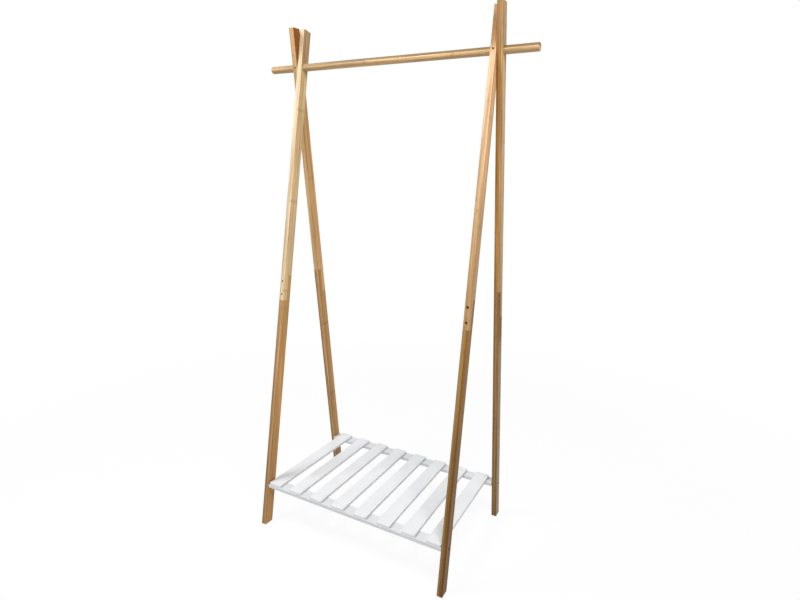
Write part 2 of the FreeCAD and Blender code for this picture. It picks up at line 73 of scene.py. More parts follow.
def tone(red: int, green: int, blue: int) -> Triple:
    """Turn a colour as a screen shows it into the shader's linear values.

    Args:
        red: Red, from 0 to 255.
        green: Green, from 0 to 255.
        blue: Blue, from 0 to 255.

    Returns:
        The linear red, green and blue, from 0 to 1.
    """
    linear = []
    for level in (red, green, blue):
        share = level / SCREEN_LEVELS
        toe = share / TOE_SLOPE
        curve = ((share + CURVE_LIFT) / (1.0 + CURVE_LIFT)) ** CURVE_POWER
        linear.append(toe if share <= TOE_END else curve)
    return linear[0], linear[1], linear[2]


class SocketKind(Enum):
    """What a node group's socket carries."""

    NUMBER = "NodeSocketFloat"
    COLOUR = "NodeSocketColor"
    VECTOR = "NodeSocketVector"


class FibreRun(Enum):
    """How a piece's own axes are turned, so that its Z lies along the fibres."""

    ALONG_X = (0.0, QUARTER_TURN, 0.0)
    ALONG_Y = (-QUARTER_TURN, 0.0, 0.0)


class TintRun(Enum):
    """The axis of the whole stand along which a bar's tint changes."""

    SIDEWAYS = 0
    UPWARD = 2


@dataclass(frozen=True)
class PieceAxes:
    """A piece's own axes, X and Y across it and Z along its fibres, and where its tint changes."""

    origin: Triple
    turn: Triple
    half_size: Triple
    tint_run: TintRun = TintRun.UPWARD
    tint_start: float = 0.0
    tint_end: float = 0.0


class Bench:
    """Lays nodes into one shader tree and wires them as they come."""

    # The colour sockets of a Mix node, which has others of the same names
    mix_first = 6
    mix_second = 7
    mix_result = 2

    def __init__(self, tree: bpy.types.NodeTree) -> None:
        """Start on a cleared tree."""
        self.tree = tree
        tree.nodes.clear()

    def feed(self, socket: bpy.types.NodeSocket, value: Any) -> None:
        """Link a socket into an input, or set the input to a plain value.

        Args:
            socket: The input.
            value: Another node's output, a number, a colour or a vector.
        """
        if isinstance(value, bpy.types.NodeSocket):
            self.tree.links.new(value, socket)
        elif socket.type == "RGBA" and len(value) == 3:
            socket.default_value = (*value, 1.0)
        else:
            socket.default_value = value

    def add(self, kind: str, feeds: dict[Any, Any] | None = None, **options: Any) -> bpy.types.Node:
        """Add one node.

        Args:
            kind: Blender's name for the node type, without its prefix.
            feeds: Values or sockets by the input's name or number.
            options: The node's own options.

        Returns:
            The node.
        """
        node = self.tree.nodes.new("ShaderNode" + kind)
        for option, value in options.items():
            setattr(node, option, value)
        for name, value in (feeds or {}).items():
            self.feed(node.inputs[name], value)
        return node

    def math(self, operation: str, *values: Any) -> bpy.types.NodeSocket:
        """Work out one number.

        Args:
            operation: The operation of the Math node.
            values: Its inputs in order.

        Returns:
            The result's socket.
        """
        return self.add("Math", dict(enumerate(values)), operation=operation).outputs[0]

    def vector(self, operation: str, *values: Any) -> bpy.types.NodeSocket:
        """Work out one vector.

        Args:
            operation: The operation of the Vector Math node.
            values: Its inputs in order.

        Returns:
            The result's socket.
        """
        return self.add("VectorMath", dict(enumerate(values)), operation=operation).outputs[0]

    def split(self, vector: bpy.types.NodeSocket) -> list[bpy.types.NodeSocket]:
        """Take a vector apart into its three numbers."""
        return list(self.add("SeparateXYZ", {0: vector}).outputs)

    def ramp(
        self, value: Any, low: Any, high: Any, start: Any = 0.0, end: Any = 1.0
    ) -> bpy.types.NodeSocket:
        """Ease a number from one range into another, held at both ends.

        Args:
            value: The number.
            low: Where the ramp begins.
            high: Where the ramp ends.
            start: The result at low.
            end: The result at high.

        Returns:
            The result's socket.
        """
        feeds = {"Value": value, "From Min": low, "From Max": high, "To Min": start, "To Max": end}
        return self.add("MapRange", feeds, interpolation_type="SMOOTHSTEP").outputs["Result"]

    def mix(self, share: Any, first: Any, second: Any, way: str = "MIX") -> bpy.types.NodeSocket:
        """Mix two colours.

        Args:
            share: How much of the second colour is taken.
            first: The first colour.
            second: The second colour.
            way: The blend type.

        Returns:
            The mixed colour's socket.
        """
        feeds = {0: share, self.mix_first: first, self.mix_second: second}
        return self.add("Mix", feeds, data_type="RGBA", blend_type=way).outputs[self.mix_result]

    def noise(self, place: Any, detail: float, rough: float) -> bpy.types.NodeSocket:
        """Add a soft noise.

        Args:
            place: Where it is read, already stretched to its fineness.
            detail: How many finer layers it has.
            rough: How strong the finer layers are.

        Returns:
            The noise value's socket.
        """
        feeds = {"Vector": place, "Scale": 1.0, "Detail": detail, "Roughness": rough}
        return self.add("TexNoise", feeds).outputs[0]

    def place_on(self, axes: PieceAxes) -> bpy.types.NodeSocket:
        """Read the surface's place in a piece's own axes.

        Args:
            axes: The piece's axes.

        Returns:
            The place as a vector socket.
        """
        feeds = {
            "Vector": self.add("TexCoord").outputs["Object"],
            "Location": axes.origin,
            "Rotation": axes.turn,
        }
        return self.add("Mapping", feeds, vector_type="TEXTURE").outputs[0]


@dataclass(frozen=True)
class Span:
    """A stretch of one value and the two results that it eases between."""

    low: float
    high: float
    start: float = 0.0
    end: float = 1.0

    def ease(self, bench: Bench, value: Any) -> bpy.types.NodeSocket:
        """Ease a value through the stretch."""
        return bench.ramp(value, self.low, self.high, self.start, self.end)


@dataclass(frozen=True)
class Grain:
    """A soft noise with its fineness across and along the fibres, in grains to the metre."""

    across: float
    along: float
    detail: float
    rough: float

    def read(self, bench: Bench, place: Any) -> bpy.types.NodeSocket:
        """Give the noise at a place in a piece's own axes."""
        stretched = bench.vector("MULTIPLY", place, (self.across, self.across, self.along))
        return bench.noise(stretched, self.detail, self.rough)


class SharedEffect:
    """A shader node group that is built once and placed in each material with its own values."""

    name = ""
    takes: dict[str, SocketKind] = {}
    gives: dict[str, SocketKind] = {}

    def __init__(self) -> None:
        """Build the group's tree with its named sockets."""
        self.tree = bpy.data.node_groups.new(self.name, "ShaderNodeTree")
        for socket, kind in self.takes.items():
            self.tree.interface.new_socket(name=socket, in_out="INPUT", socket_type=kind.value)
        for socket, kind in self.gives.items():
            self.tree.interface.new_socket(name=socket, in_out="OUTPUT", socket_type=kind.value)
        bench = Bench(self.tree)
        entry = self.tree.nodes.new("NodeGroupInput")
        results = self.work_out(bench, dict(zip(self.takes, entry.outputs)))
        leave = self.tree.nodes.new("NodeGroupOutput")
        for socket, value in results.items():
            bench.feed(leave.inputs[socket], value)

    def work_out(self, bench: Bench, given: dict[str, bpy.types.NodeSocket]) -> dict[str, Any]:
        """Wire the effect; each effect has its own way.

        Args:
            bench: The group's tree.
            given: The group's inputs by name.

        Returns:
            The group's outputs by name.
        """
        raise NotImplementedError

    def place(self, bench: Bench, **feeds: Any) -> dict[str, bpy.types.NodeSocket]:
        """Place the group in a material.

        Args:
            bench: The material's tree.
            feeds: The group's inputs, with underscores for spaces in their names.

        Returns:
            The group's output sockets by name.
        """
        node = bench.add("Group", node_tree=self.tree)
        for name, value in feeds.items():
            bench.feed(node.inputs[name.replace("_", " ")], value)
        return {output.name: output for output in node.outputs}


class StripBamboo(SharedEffect):
    """Three bamboo strips glued side by side, with streaks, fibres, cane joints and thin glue lines."""

    name = "Strip bamboo"
    takes = {
        "Place": SocketKind.VECTOR,
        "Seed": SocketKind.NUMBER,
        "Strip Width": SocketKind.NUMBER,
        "Joint Spacing": SocketKind.NUMBER,
        "Left": SocketKind.COLOUR,
        "Middle": SocketKind.COLOUR,
        "Right": SocketKind.COLOUR,
        "Side": SocketKind.COLOUR,
        "Dark": SocketKind.COLOUR,
    }
    gives = {"Colour": SocketKind.COLOUR, "Height": SocketKind.NUMBER}

    # Strips, in strip widths from the bar's middle, and how far apart their chance numbers lie
    strip_edge = 0.5
    side_edge = 1.42
    strip_step = 7.31
    seed_step = 3.17

    # Tone, from broad drifts down to single vessels
    wander = Grain(across=70.0, along=3.4, detail=2.0, rough=0.55)
    streak = Grain(across=330.0, along=5.0, detail=2.0, rough=0.6)
    fibre = Grain(across=1100.0, along=9.0, detail=3.0, rough=0.62)
    vessel = Grain(across=3100.0, along=36.0, detail=1.0, rough=0.5)
    wander_light = Span(low=0.3, high=0.7, start=1.16, end=0.82)
    streak_light = Span(low=0.3, high=0.7, start=0.78, end=1.20)
    fibre_light = Span(low=0.3, high=0.7, start=0.92, end=1.06)
    vessel_cut = Span(low=0.60, high=0.72)
    vessel_dark = 0.22

    # Glue lines between the strips
    glue_rim = Span(low=0.05 * MM, high=0.3 * MM, start=1.0, end=0.0)
    glue_dark = 0.4

    # Joints of the cane: a soft band and a thin line, both ragged, some stronger than others
    joint_shift = 9.0
    joint_middle = 0.5
    ragged = Grain(across=420.0, along=60.0, detail=2.0, rough=0.6)
    ragged_depth = 9.0 * MM
    band_rim = Span(low=1.0 * MM, high=8.0 * MM, start=1.0, end=0.0)
    band_dark = 0.2
    line_rim = Span(low=0.2 * MM, high=1.3 * MM, start=1.0, end=0.0)
    line_dark = 0.34
    joint_force = Span(low=0.1, high=0.9, start=0.35, end=1.0)

    # Relief, as shares of the bump's depth
    fibre_rise = 0.55
    vessel_rise = -0.35
    glue_rise = -0.5
    line_rise = 0.5

    def work_out(self, bench: Bench, given: dict[str, bpy.types.NodeSocket]) -> dict[str, Any]:
        """Wire the strips, their tone, their glue lines and their joints.

        Args:
            bench: The group's tree.
            given: The group's inputs by name.

        Returns:
            The group's outputs by name.
        """
        sideways, _, along = bench.split(given["Place"])
        offset = bench.math("DIVIDE", sideways, given["Strip Width"])
        is_left = bench.math("LESS_THAN", offset, -self.strip_edge)
        is_right = bench.math("GREATER_THAN", offset, self.strip_edge)
        strip = bench.math("SUBTRACT", is_right, is_left)
        batch = bench.math("MULTIPLY", given["Seed"], self.seed_step)
        key = bench.math("MULTIPLY_ADD", strip, self.strip_step, batch)
        chance = bench.add("TexWhiteNoise", {"W": key}, noise_dimensions="1D").outputs["Color"]
        own = bench.vector("ADD", given["Place"], chance)

        colour = bench.mix(is_left, given["Middle"], given["Left"])
        colour = bench.mix(is_right, colour, given["Right"])
        distance = bench.math("ABSOLUTE", offset)
        is_side = bench.math("GREATER_THAN", distance, self.side_edge)
        colour = bench.mix(is_side, colour, given["Side"])

        fibre = self.fibre.read(bench, own)
        vessels = self.vessel_cut.ease(bench, self.vessel.read(bench, own))
        colour = bench.mix(1.0, colour, self.light(bench, own, fibre), "MULTIPLY")
        colour = bench.mix(bench.math("MULTIPLY", vessels, self.vessel_dark), colour, given["Dark"])

        from_edge = bench.math("ABSOLUTE", bench.math("SUBTRACT", distance, self.strip_edge))
        glue = self.glue_rim.ease(bench, bench.math("MULTIPLY", from_edge, given["Strip Width"]))
        colour = bench.mix(bench.math("MULTIPLY", glue, self.glue_dark), colour, given["Dark"])

        joint, line = self.joints(bench, own, along, chance, given["Joint Spacing"])
        colour = bench.mix(joint, colour, given["Dark"])

        dips = bench.math("MULTIPLY", vessels, self.vessel_rise)
        height = bench.math("MULTIPLY_ADD", fibre, self.fibre_rise, dips)
        height = bench.math("MULTIPLY_ADD", glue, self.glue_rise, height)
        height = bench.math("MULTIPLY_ADD", line, self.line_rise, height)
        return {"Colour": colour, "Height": height}

    def light(self, bench: Bench, own: Any, fibre: bpy.types.NodeSocket) -> bpy.types.NodeSocket:
        """Wire how light or dark the strips drift.

        Args:
            bench: The group's tree.
            own: The place, moved apart for each strip.
            fibre: The fibres' noise.

        Returns:
            A grey that the strips' colour is multiplied by.
        """
        wander = self.wander_light.ease(bench, self.wander.read(bench, own))
        streak = self.streak_light.ease(bench, self.streak.read(bench, own))
        share = bench.math("MULTIPLY", wander, streak)
        share = bench.math("MULTIPLY", share, self.fibre_light.ease(bench, fibre))
        return bench.add("CombineColor", {0: share, 1: share, 2: share}).outputs[0]

    def joints(
        self, bench: Bench, own: Any, along: Any, chance: Any, spacing: Any
    ) -> tuple[bpy.types.NodeSocket, bpy.types.NodeSocket]:
        """Wire the joints of the cane.

        Args:
            bench: The group's tree.
            own: The place, moved apart for each strip.
            along: The distance along the fibres.
            chance: The strip's chance numbers, as a colour.
            spacing: The distance between two joints.

        Returns:
            How much the joints darken the strip, and the mask of their thin lines.
        """
        _, shift, force = bench.add("SeparateColor", {0: chance}).outputs
        count = bench.math("MULTIPLY_ADD", shift, self.joint_shift, bench.math("DIVIDE", along, spacing))
        part = bench.math("SUBTRACT", bench.math("FRACT", count), self.joint_middle)
        ragged = self.ragged.read(bench, own)
        stray = bench.math("MULTIPLY_ADD", ragged, self.ragged_depth, -self.ragged_depth / 2)
        gap = bench.math("MULTIPLY_ADD", bench.math("ABSOLUTE", part), spacing, stray)
        band = bench.math("MULTIPLY", self.band_rim.ease(bench, gap), self.band_dark)
        line = self.line_rim.ease(bench, bench.math("ABSOLUTE", gap))
        joint = bench.math("MAXIMUM", band, bench.math("MULTIPLY", line, self.line_dark))
        return bench.math("MULTIPLY", joint, self.joint_force.ease(bench, force)), line


class BoardGrain(SharedEffect):
    """Faint long grain and roller marks that show through a coat of paint."""

    name = "Board grain"
    takes = {
        "Place": SocketKind.VECTOR,
        "Seed": SocketKind.NUMBER,
        "Colour": SocketKind.COLOUR,
        "Shade": SocketKind.COLOUR,
    }
    gives = {"Colour": SocketKind.COLOUR, "Height": SocketKind.NUMBER}

    grain = Grain(across=420.0, along=6.0, detail=3.0, rough=0.6)
    stipple = Grain(across=900.0, along=900.0, detail=1.0, rough=0.5)
    cloud = Grain(across=14.0, along=14.0, detail=2.0, rough=0.5)
    grain_shade = Span(low=0.3, high=0.75, start=0.0, end=0.45)
    cloud_shade = Span(low=0.3, high=0.7, start=0.0, end=0.55)
    stipple_rise = 0.35

    def work_out(self, bench: Bench, given: dict[str, bpy.types.NodeSocket]) -> dict[str, Any]:
        """Wire the long grain and the roller's stipple.

        Args:
            bench: The group's tree.
            given: The group's inputs by name.

        Returns:
            The group's outputs by name.
        """
        shift = bench.add("CombineXYZ", {0: given["Seed"], 1: given["Seed"], 2: given["Seed"]}).outputs[0]
        own = bench.vector("ADD", given["Place"], shift)
        grain = self.grain.read(bench, own)
        clouded = self.cloud_shade.ease(bench, self.cloud.read(bench, own))
        share = bench.math("ADD", clouded, self.grain_shade.ease(bench, grain))
        colour = bench.mix(share, given["Colour"], given["Shade"])
        height = bench.math("MULTIPLY_ADD", self.stipple.read(bench, own), self.stipple_rise, grain)
        return {"Colour": colour, "Height": height}


class EdgeWearAndShade(SharedEffect):
    """A mask along the four long edges of a bar, by which the bamboo's edges darken a little and the
    painted boards take painted shade.
    """

    name = "Edge wear"
    takes = {
        "Place": SocketKind.VECTOR,
        "Half Size": SocketKind.VECTOR,
        "Reach": SocketKind.NUMBER,
    }
    gives = {"Mask": SocketKind.NUMBER}

    patches = Grain(across=160.0, along=28.0, detail=3.0, rough=0.6)
    patch_reach = Span(low=0.3, high=0.7, start=0.55, end=1.3)
    full_share = 0.4

    def work_out(self, bench: Bench, given: dict[str, bpy.types.NodeSocket]) -> dict[str, Any]:
        """Wire the distance from the bar's corners, broken up by a noise.

        Args:
            bench: The group's tree.
            given: The group's inputs by name.

        Returns:
            The group's outputs by name.
        """
        inward = bench.vector("SUBTRACT", given["Half Size"], bench.vector("ABSOLUTE", given["Place"]))
        sides = bench.split(inward)
        corner = bench.math("ADD", sides[0], sides[1])
        patchy = self.patch_reach.ease(bench, self.patches.read(bench, given["Place"]))
        ragged = bench.math("MULTIPLY", given["Reach"], patchy)
        full = bench.math("MULTIPLY", ragged, self.full_share)
        return {"Mask": bench.ramp(corner, full, ragged, 1.0, 0.0)}


class SatinSheen(SharedEffect):
    """Roughness that drifts a little over the surface, as a sprayed or plated film does."""

    name = "Satin sheen"
    takes = {"Place": SocketKind.VECTOR, "Roughness": SocketKind.NUMBER, "Spread": SocketKind.NUMBER}
    gives = {"Roughness": SocketKind.NUMBER}

    wide = Grain(across=34.0, along=34.0, detail=3.0, rough=0.55)
    fine = Grain(across=620.0, along=620.0, detail=1.0, rough=0.5)
    wide_share = 0.7
    fine_share = 0.3
    middle = 0.5

    def work_out(self, bench: Bench, given: dict[str, bpy.types.NodeSocket]) -> dict[str, Any]:
        """Wire two sizes of noise into the roughness.

        Args:
            bench: The group's tree.
            given: The group's inputs by name.

        Returns:
            The group's outputs by name.
        """
        fine = bench.math("MULTIPLY", self.fine.read(bench, given["Place"]), self.fine_share)
        film = bench.math("MULTIPLY_ADD", self.wide.read(bench, given["Place"]), self.wide_share, fine)
        drift = bench.math("SUBTRACT", film, self.middle)
        return {"Roughness": bench.math("MULTIPLY_ADD", drift, given["Spread"], given["Roughness"])}


@dataclass
class Effects:
    """The shared node groups, each built once."""

    bamboo: StripBamboo = field(default_factory=StripBamboo)
    board: BoardGrain = field(default_factory=BoardGrain)
    wear_and_shade: EdgeWearAndShade = field(default_factory=EdgeWearAndShade)
    sheen: SatinSheen = field(default_factory=SatinSheen)


def new_material(name: str) -> tuple[bpy.types.Material, Bench]:
    """Make an empty material.

    Args:
        name: Its name.

    Returns:
        The material and a bench on its tree.
    """
    material = bpy.data.materials.new(name)
    material.use_nodes = True
    return material, Bench(material.node_tree)


def close_material(bench: Bench, shader: bpy.types.NodeSocket) -> None:
    """Wire a shader to the material's output."""
    bench.add("OutputMaterial", {"Surface": shader})


def bump(bench: Bench, height: bpy.types.NodeSocket, share: float, depth: float) -> bpy.types.NodeSocket:
    """Turn a height into a surface normal.

    Args:
        bench: The material's tree.
        height: The height, in shares of the depth.
        share: How much of the bump is taken.
        depth: The depth of a height of 1.

    Returns:
        The normal's socket.
    """
    feeds = {"Strength": share, "Distance": depth, "Height": height}
    return bench.add("Bump", feeds).outputs["Normal"]


@dataclass(frozen=True)
class Tint:
    """A strip's colour along a bar: most of the way, above the rail, at the far end and at the head; the
    colour above the rail is painted light and shade.
    """

    main: Triple
    crown_light_and_shade: Triple | None = None
    low: Triple | None = None
    head: Triple | None = None
    # Where the painted light and shade above the rail fades in, from the rail's height
    light_and_shade_start: float = -20.0 * MM
    light_and_shade_full: float = 25.0 * MM
    head_length: float = 136.0 * MM
    head_fade: float = 54.0 * MM

    def along(self, bench: Bench, axes: PieceAxes) -> Any:
        """Give the colour, or the socket that carries it where it changes along the bar.

        Args:
            bench: The material's tree.
            axes: The bar's own axes.

        Returns:
            A plain colour or a colour socket.
        """
        if not (self.crown_light_and_shade or self.low or self.head):
            return self.main
        colour: Any = self.main
        spot = bench.split(bench.add("TexCoord").outputs["Object"])[axes.tint_run.value]
        if self.low:
            colour = bench.mix(bench.ramp(spot, axes.tint_start, axes.tint_end), colour, self.low)
        if self.head:
            neck = axes.tint_start - self.head_length
            colour = bench.mix(bench.ramp(spot, neck - self.head_fade, neck), colour, self.head)
        # Above the rail the strips take painted shade, the shadow that the crossing legs cast on each
        # other there; a few strips are painted lighter there instead
        if self.crown_light_and_shade:
            rail = axes.origin[axes.tint_run.value]
            above = bench.ramp(spot, rail + self.light_and_shade_start, rail + self.light_and_shade_full)
            colour = bench.mix(above, colour, self.crown_light_and_shade)
        return colour


@dataclass(frozen=True)
class BambooFinish:
    """Clear satin lacquer over a bar of three bamboo strips between two thin side strips."""

    left: Tint
    middle: Tint
    right: Tint
    side: Tint
    dark: Triple = tone(96, 56, 24)
    strip_width: float = 6.0 * MM
    joint_spacing: float = 290.0 * MM
    roughness: float = 0.44
    sheen_spread: float = 0.22
    specular: float = 0.15
    coat: float = 0.02
    coat_roughness: float = 0.25
    # How far and how strongly the bar's edges darken towards the dark tone
    wear_and_shade_reach: float = 2.6 * MM
    wear_and_shade_share: float = 0.2
    relief_share: float = 0.6
    relief_depth: float = 0.12 * MM

    def material(self, name: str, axes: PieceAxes, seed: float, effects: Effects) -> bpy.types.Material:
        """Make the finish for one piece.

        Args:
            name: The material's name.
            axes: The piece's own axes.
            seed: Which bamboo the strips are cut from.
            effects: The shared node groups.

        Returns:
            The material.
        """
        material, bench = new_material(name)
        place = bench.place_on(axes)
        strips = effects.bamboo.place(
            bench,
            Place=place,
            Seed=seed,
            Strip_Width=self.strip_width,
            Joint_Spacing=self.joint_spacing,
            Left=self.left.along(bench, axes),
            Middle=self.middle.along(bench, axes),
            Right=self.right.along(bench, axes),
            Side=self.side.along(bench, axes),
            Dark=self.dark,
        )
        wear_and_shade_mask = effects.wear_and_shade.place(bench, Place=place, Half_Size=axes.half_size, Reach=self.wear_and_shade_reach)
        rubbed_and_shaded = bench.math("MULTIPLY", wear_and_shade_mask["Mask"], self.wear_and_shade_share)
        sheen = effects.sheen.place(bench, Place=place, Roughness=self.roughness, Spread=self.sheen_spread)
        feeds = {
            "Base Color": bench.mix(rubbed_and_shaded, strips["Colour"], self.dark),
            "Roughness": sheen["Roughness"],
            "Normal": bump(bench, strips["Height"], self.relief_share, self.relief_depth),
            "Specular IOR Level": self.specular,
            "Coat Weight": self.coat,
            "Coat Roughness": self.coat_roughness,
        }
        close_material(bench, bench.add("BsdfPrincipled", feeds).outputs[0])
        return material


@dataclass(frozen=True)
class PaintFinish:
    """White satin paint on board, with a grey laid along its edges as painted shade."""

    colour: Triple
    shade: Triple
    # The grey along the edges is painted shade, for the shaded edges and sides of the boards
    edge_shade: Triple
    roughness: float = 0.42
    sheen_spread: float = 0.2
    wear_and_shade_reach: float = 1.6 * MM
    wear_and_shade_share: float = 0.6
    relief_share: float = 0.5
    relief_depth: float = 0.1 * MM

    def material(self, name: str, axes: PieceAxes, seed: float, effects: Effects) -> bpy.types.Material:
        """Make the finish for one board.

        Args:
            name: The material's name.
            axes: The board's own axes.
            seed: Which stretch of grain lies under the paint.
            effects: The shared node groups.

        Returns:
            The material.
        """
        material, bench = new_material(name)
        place = bench.place_on(axes)
        grain = effects.board.place(bench, Place=place, Seed=seed, Colour=self.colour, Shade=self.shade)
        # The edge mask lays the grey on as painted shade
        wear_and_shade_mask = effects.wear_and_shade.place(bench, Place=place, Half_Size=axes.half_size, Reach=self.wear_and_shade_reach)
        rubbed_and_shaded = bench.math("MULTIPLY", wear_and_shade_mask["Mask"], self.wear_and_shade_share)
        sheen = effects.sheen.place(bench, Place=place, Roughness=self.roughness, Spread=self.sheen_spread)
        feeds = {
            "Base Color": bench.mix(rubbed_and_shaded, grain["Colour"], self.edge_shade),
            "Roughness": sheen["Roughness"],
            "Normal": bump(bench, grain["Height"], self.relief_share, self.relief_depth),
        }
        close_material(bench, bench.add("BsdfPrincipled", feeds).outputs[0])
        return material


@dataclass(frozen=True)
class SteelFinish:
    """Plated or coated steel on small turned fasteners."""

    bright: Triple
    dull: Triple
    metallic: float
    roughness: float = 0.4
    sheen_spread: float = 0.3
    spots: Grain = Grain(across=700.0, along=700.0, detail=3.0, rough=0.6)
    spot_rim: Span = Span(low=0.35, high=0.7)

    def material(self, name: str, effects: Effects) -> bpy.types.Material:
        """Make the finish.

        Args:
            name: The material's name.
            effects: The shared node groups.

        Returns:
            The material.
        """
        material, bench = new_material(name)
        place = bench.add("TexCoord").outputs["Object"]
        spots = self.spot_rim.ease(bench, self.spots.read(bench, place))
        sheen = effects.sheen.place(bench, Place=place, Roughness=self.roughness, Spread=self.sheen_spread)
        feeds = {
            "Base Color": bench.mix(spots, self.bright, self.dull),
            "Roughness": sheen["Roughness"],
            "Metallic": self.metallic,
        }
        close_material(bench, bench.add("BsdfPrincipled", feeds).outputs[0])
        return material


class Dresser:
    """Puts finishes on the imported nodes."""

    def __init__(self, frame: dict[str, Any]) -> None:
        """Hold the frame and build the shared effects.

        Args:
            frame: The loaded frame, with its nodes and its record.
        """
        self.nodes: dict[str, bpy.types.Object] = frame["nodes"]
        self.mounts = {mount["name"]: mount for mount in frame["record"]["mounts"]}
        self.effects = Effects()

    def put_on(self, node: str, material: bpy.types.Material) -> None:
        """Give a node its material and report it.

        Args:
            node: The node's name.
            material: The material.
        """
        for slot in self.nodes[node].material_slots:
            slot.material = material
        LOG.info("%s: %s", node, material.name)

    def mount(self, name: str) -> Vector:
        """Give the place of one of the record's mounts."""
        return Vector(self.mounts[name]["pos_m"])

    def rail_height(self) -> float:
        """Give the height of the hanging rail's axis."""
        rest = self.mounts["hanger_rest"]
        return rest["pos_m"][2] - rest["dims"]["r_mm"] * MM


class Foot(Enum):
    """Which way a leg's foot stands out from the rail."""

    FRONT = "front"
    REAR = "rear"


class Side(Enum):
    """Which of the two crossed frames a leg belongs to."""

    LEFT = "left"
    RIGHT = "right"


class Length(Enum):
    """Which half of a leg a bar is."""

    UPPER = "upper"
    LOWER = "lower"


# The leg finishes' crown tones are painted light and shade above the rail: mostly the shadow that the
# crossing legs cast on each other, on a few strips a lighter tone
CREAM = BambooFinish(
    left=Tint(tone(230, 206, 172), low=tone(202, 182, 152)),
    middle=Tint(tone(221, 198, 163)),
    right=Tint(tone(222, 190, 148)),
    side=Tint(tone(208, 176, 128), crown_light_and_shade=tone(166, 134, 96), low=tone(214, 184, 140)),
)
ROSY_CREAM = BambooFinish(
    left=Tint(tone(230, 196, 160), crown_light_and_shade=tone(166, 128, 84), low=tone(188, 154, 104)),
    middle=Tint(tone(228, 186, 148), crown_light_and_shade=tone(170, 126, 82), low=tone(188, 150, 98)),
    right=Tint(tone(222, 184, 142), crown_light_and_shade=tone(182, 142, 98), low=tone(204, 156, 104)),
    side=Tint(tone(226, 186, 138), crown_light_and_shade=tone(186, 146, 100), low=tone(196, 158, 112)),
)
HONEY = BambooFinish(
    left=Tint(tone(206, 170, 124)),
    middle=Tint(tone(202, 168, 124), crown_light_and_shade=tone(226, 182, 136), low=tone(188, 154, 108)),
    right=Tint(tone(208, 166, 114), crown_light_and_shade=tone(200, 150, 98)),
    side=Tint(tone(194, 150, 98), crown_light_and_shade=tone(132, 84, 36), low=tone(208, 164, 112)),
)
AMBER = BambooFinish(
    left=Tint(tone(156, 114, 66), crown_light_and_shade=tone(166, 124, 84)),
    middle=Tint(tone(184, 130, 66), crown_light_and_shade=tone(168, 126, 80)),
    right=Tint(tone(202, 158, 100), crown_light_and_shade=tone(168, 136, 88)),
    side=Tint(tone(210, 180, 138), crown_light_and_shade=tone(172, 144, 104), low=tone(192, 160, 118)),
)
TOASTED = BambooFinish(
    left=Tint(tone(176, 140, 98), low=tone(150, 116, 80)),
    middle=Tint(tone(190, 152, 106), low=tone(160, 122, 80)),
    right=Tint(tone(204, 158, 104), low=tone(186, 140, 86)),
    side=Tint(tone(206, 158, 98), low=tone(186, 138, 84)),
)
BROWN = BambooFinish(
    left=Tint(tone(146, 114, 76)),
    middle=Tint(tone(178, 138, 92)),
    right=Tint(tone(206, 158, 102)),
    side=Tint(tone(190, 146, 92)),
)
RED_BROWN = BambooFinish(
    left=Tint(tone(150, 110, 68), low=tone(132, 98, 56)),
    middle=Tint(tone(172, 126, 76), low=tone(142, 106, 58)),
    right=Tint(tone(152, 112, 64), low=tone(134, 100, 54)),
    side=Tint(tone(160, 134, 100), head=tone(132, 93, 42)),
)
DARK_BROWN = BambooFinish(
    left=Tint(tone(168, 134, 82), low=tone(140, 110, 70)),
    middle=Tint(tone(170, 132, 76), low=tone(128, 90, 38)),
    right=Tint(tone(144, 98, 36), low=tone(108, 66, 12)),
    side=Tint(tone(160, 120, 62), low=tone(112, 76, 28)),
)
# The rail's left and side strips, which lie along its top, are dark as painted shade, paler towards the
# rail's left end
RAIL_HONEY_SHADED_TOP = BambooFinish(
    left=Tint(tone(118, 97, 62), low=tone(160, 132, 92)),
    middle=Tint(tone(228, 188, 138)),
    right=Tint(tone(212, 178, 130)),
    side=Tint(tone(118, 97, 62), low=tone(160, 132, 92)),
    strip_width=9.0 * MM,
)
SLAT_WHITE = PaintFinish(colour=tone(228, 229, 231), shade=tone(219, 221, 223), edge_shade=tone(180, 181, 182))
# The rails' white is the slats' white painted darker, as painted shade on their front faces
SHADED_RAIL_WHITE = PaintFinish(colour=tone(216, 217, 219), shade=tone(206, 208, 210), edge_shade=tone(172, 173, 174))
# The coated screws are a warm mid brown rather than dark, as painted light: the wood-coloured light in the
# recesses around their heads
RECESS_LIT_COAT = SteelFinish(bright=tone(150, 106, 60), dull=tone(118, 82, 46), metallic=0.2)
YELLOW_ZINC = SteelFinish(bright=tone(202, 178, 140), dull=tone(180, 154, 116), metallic=0.5)


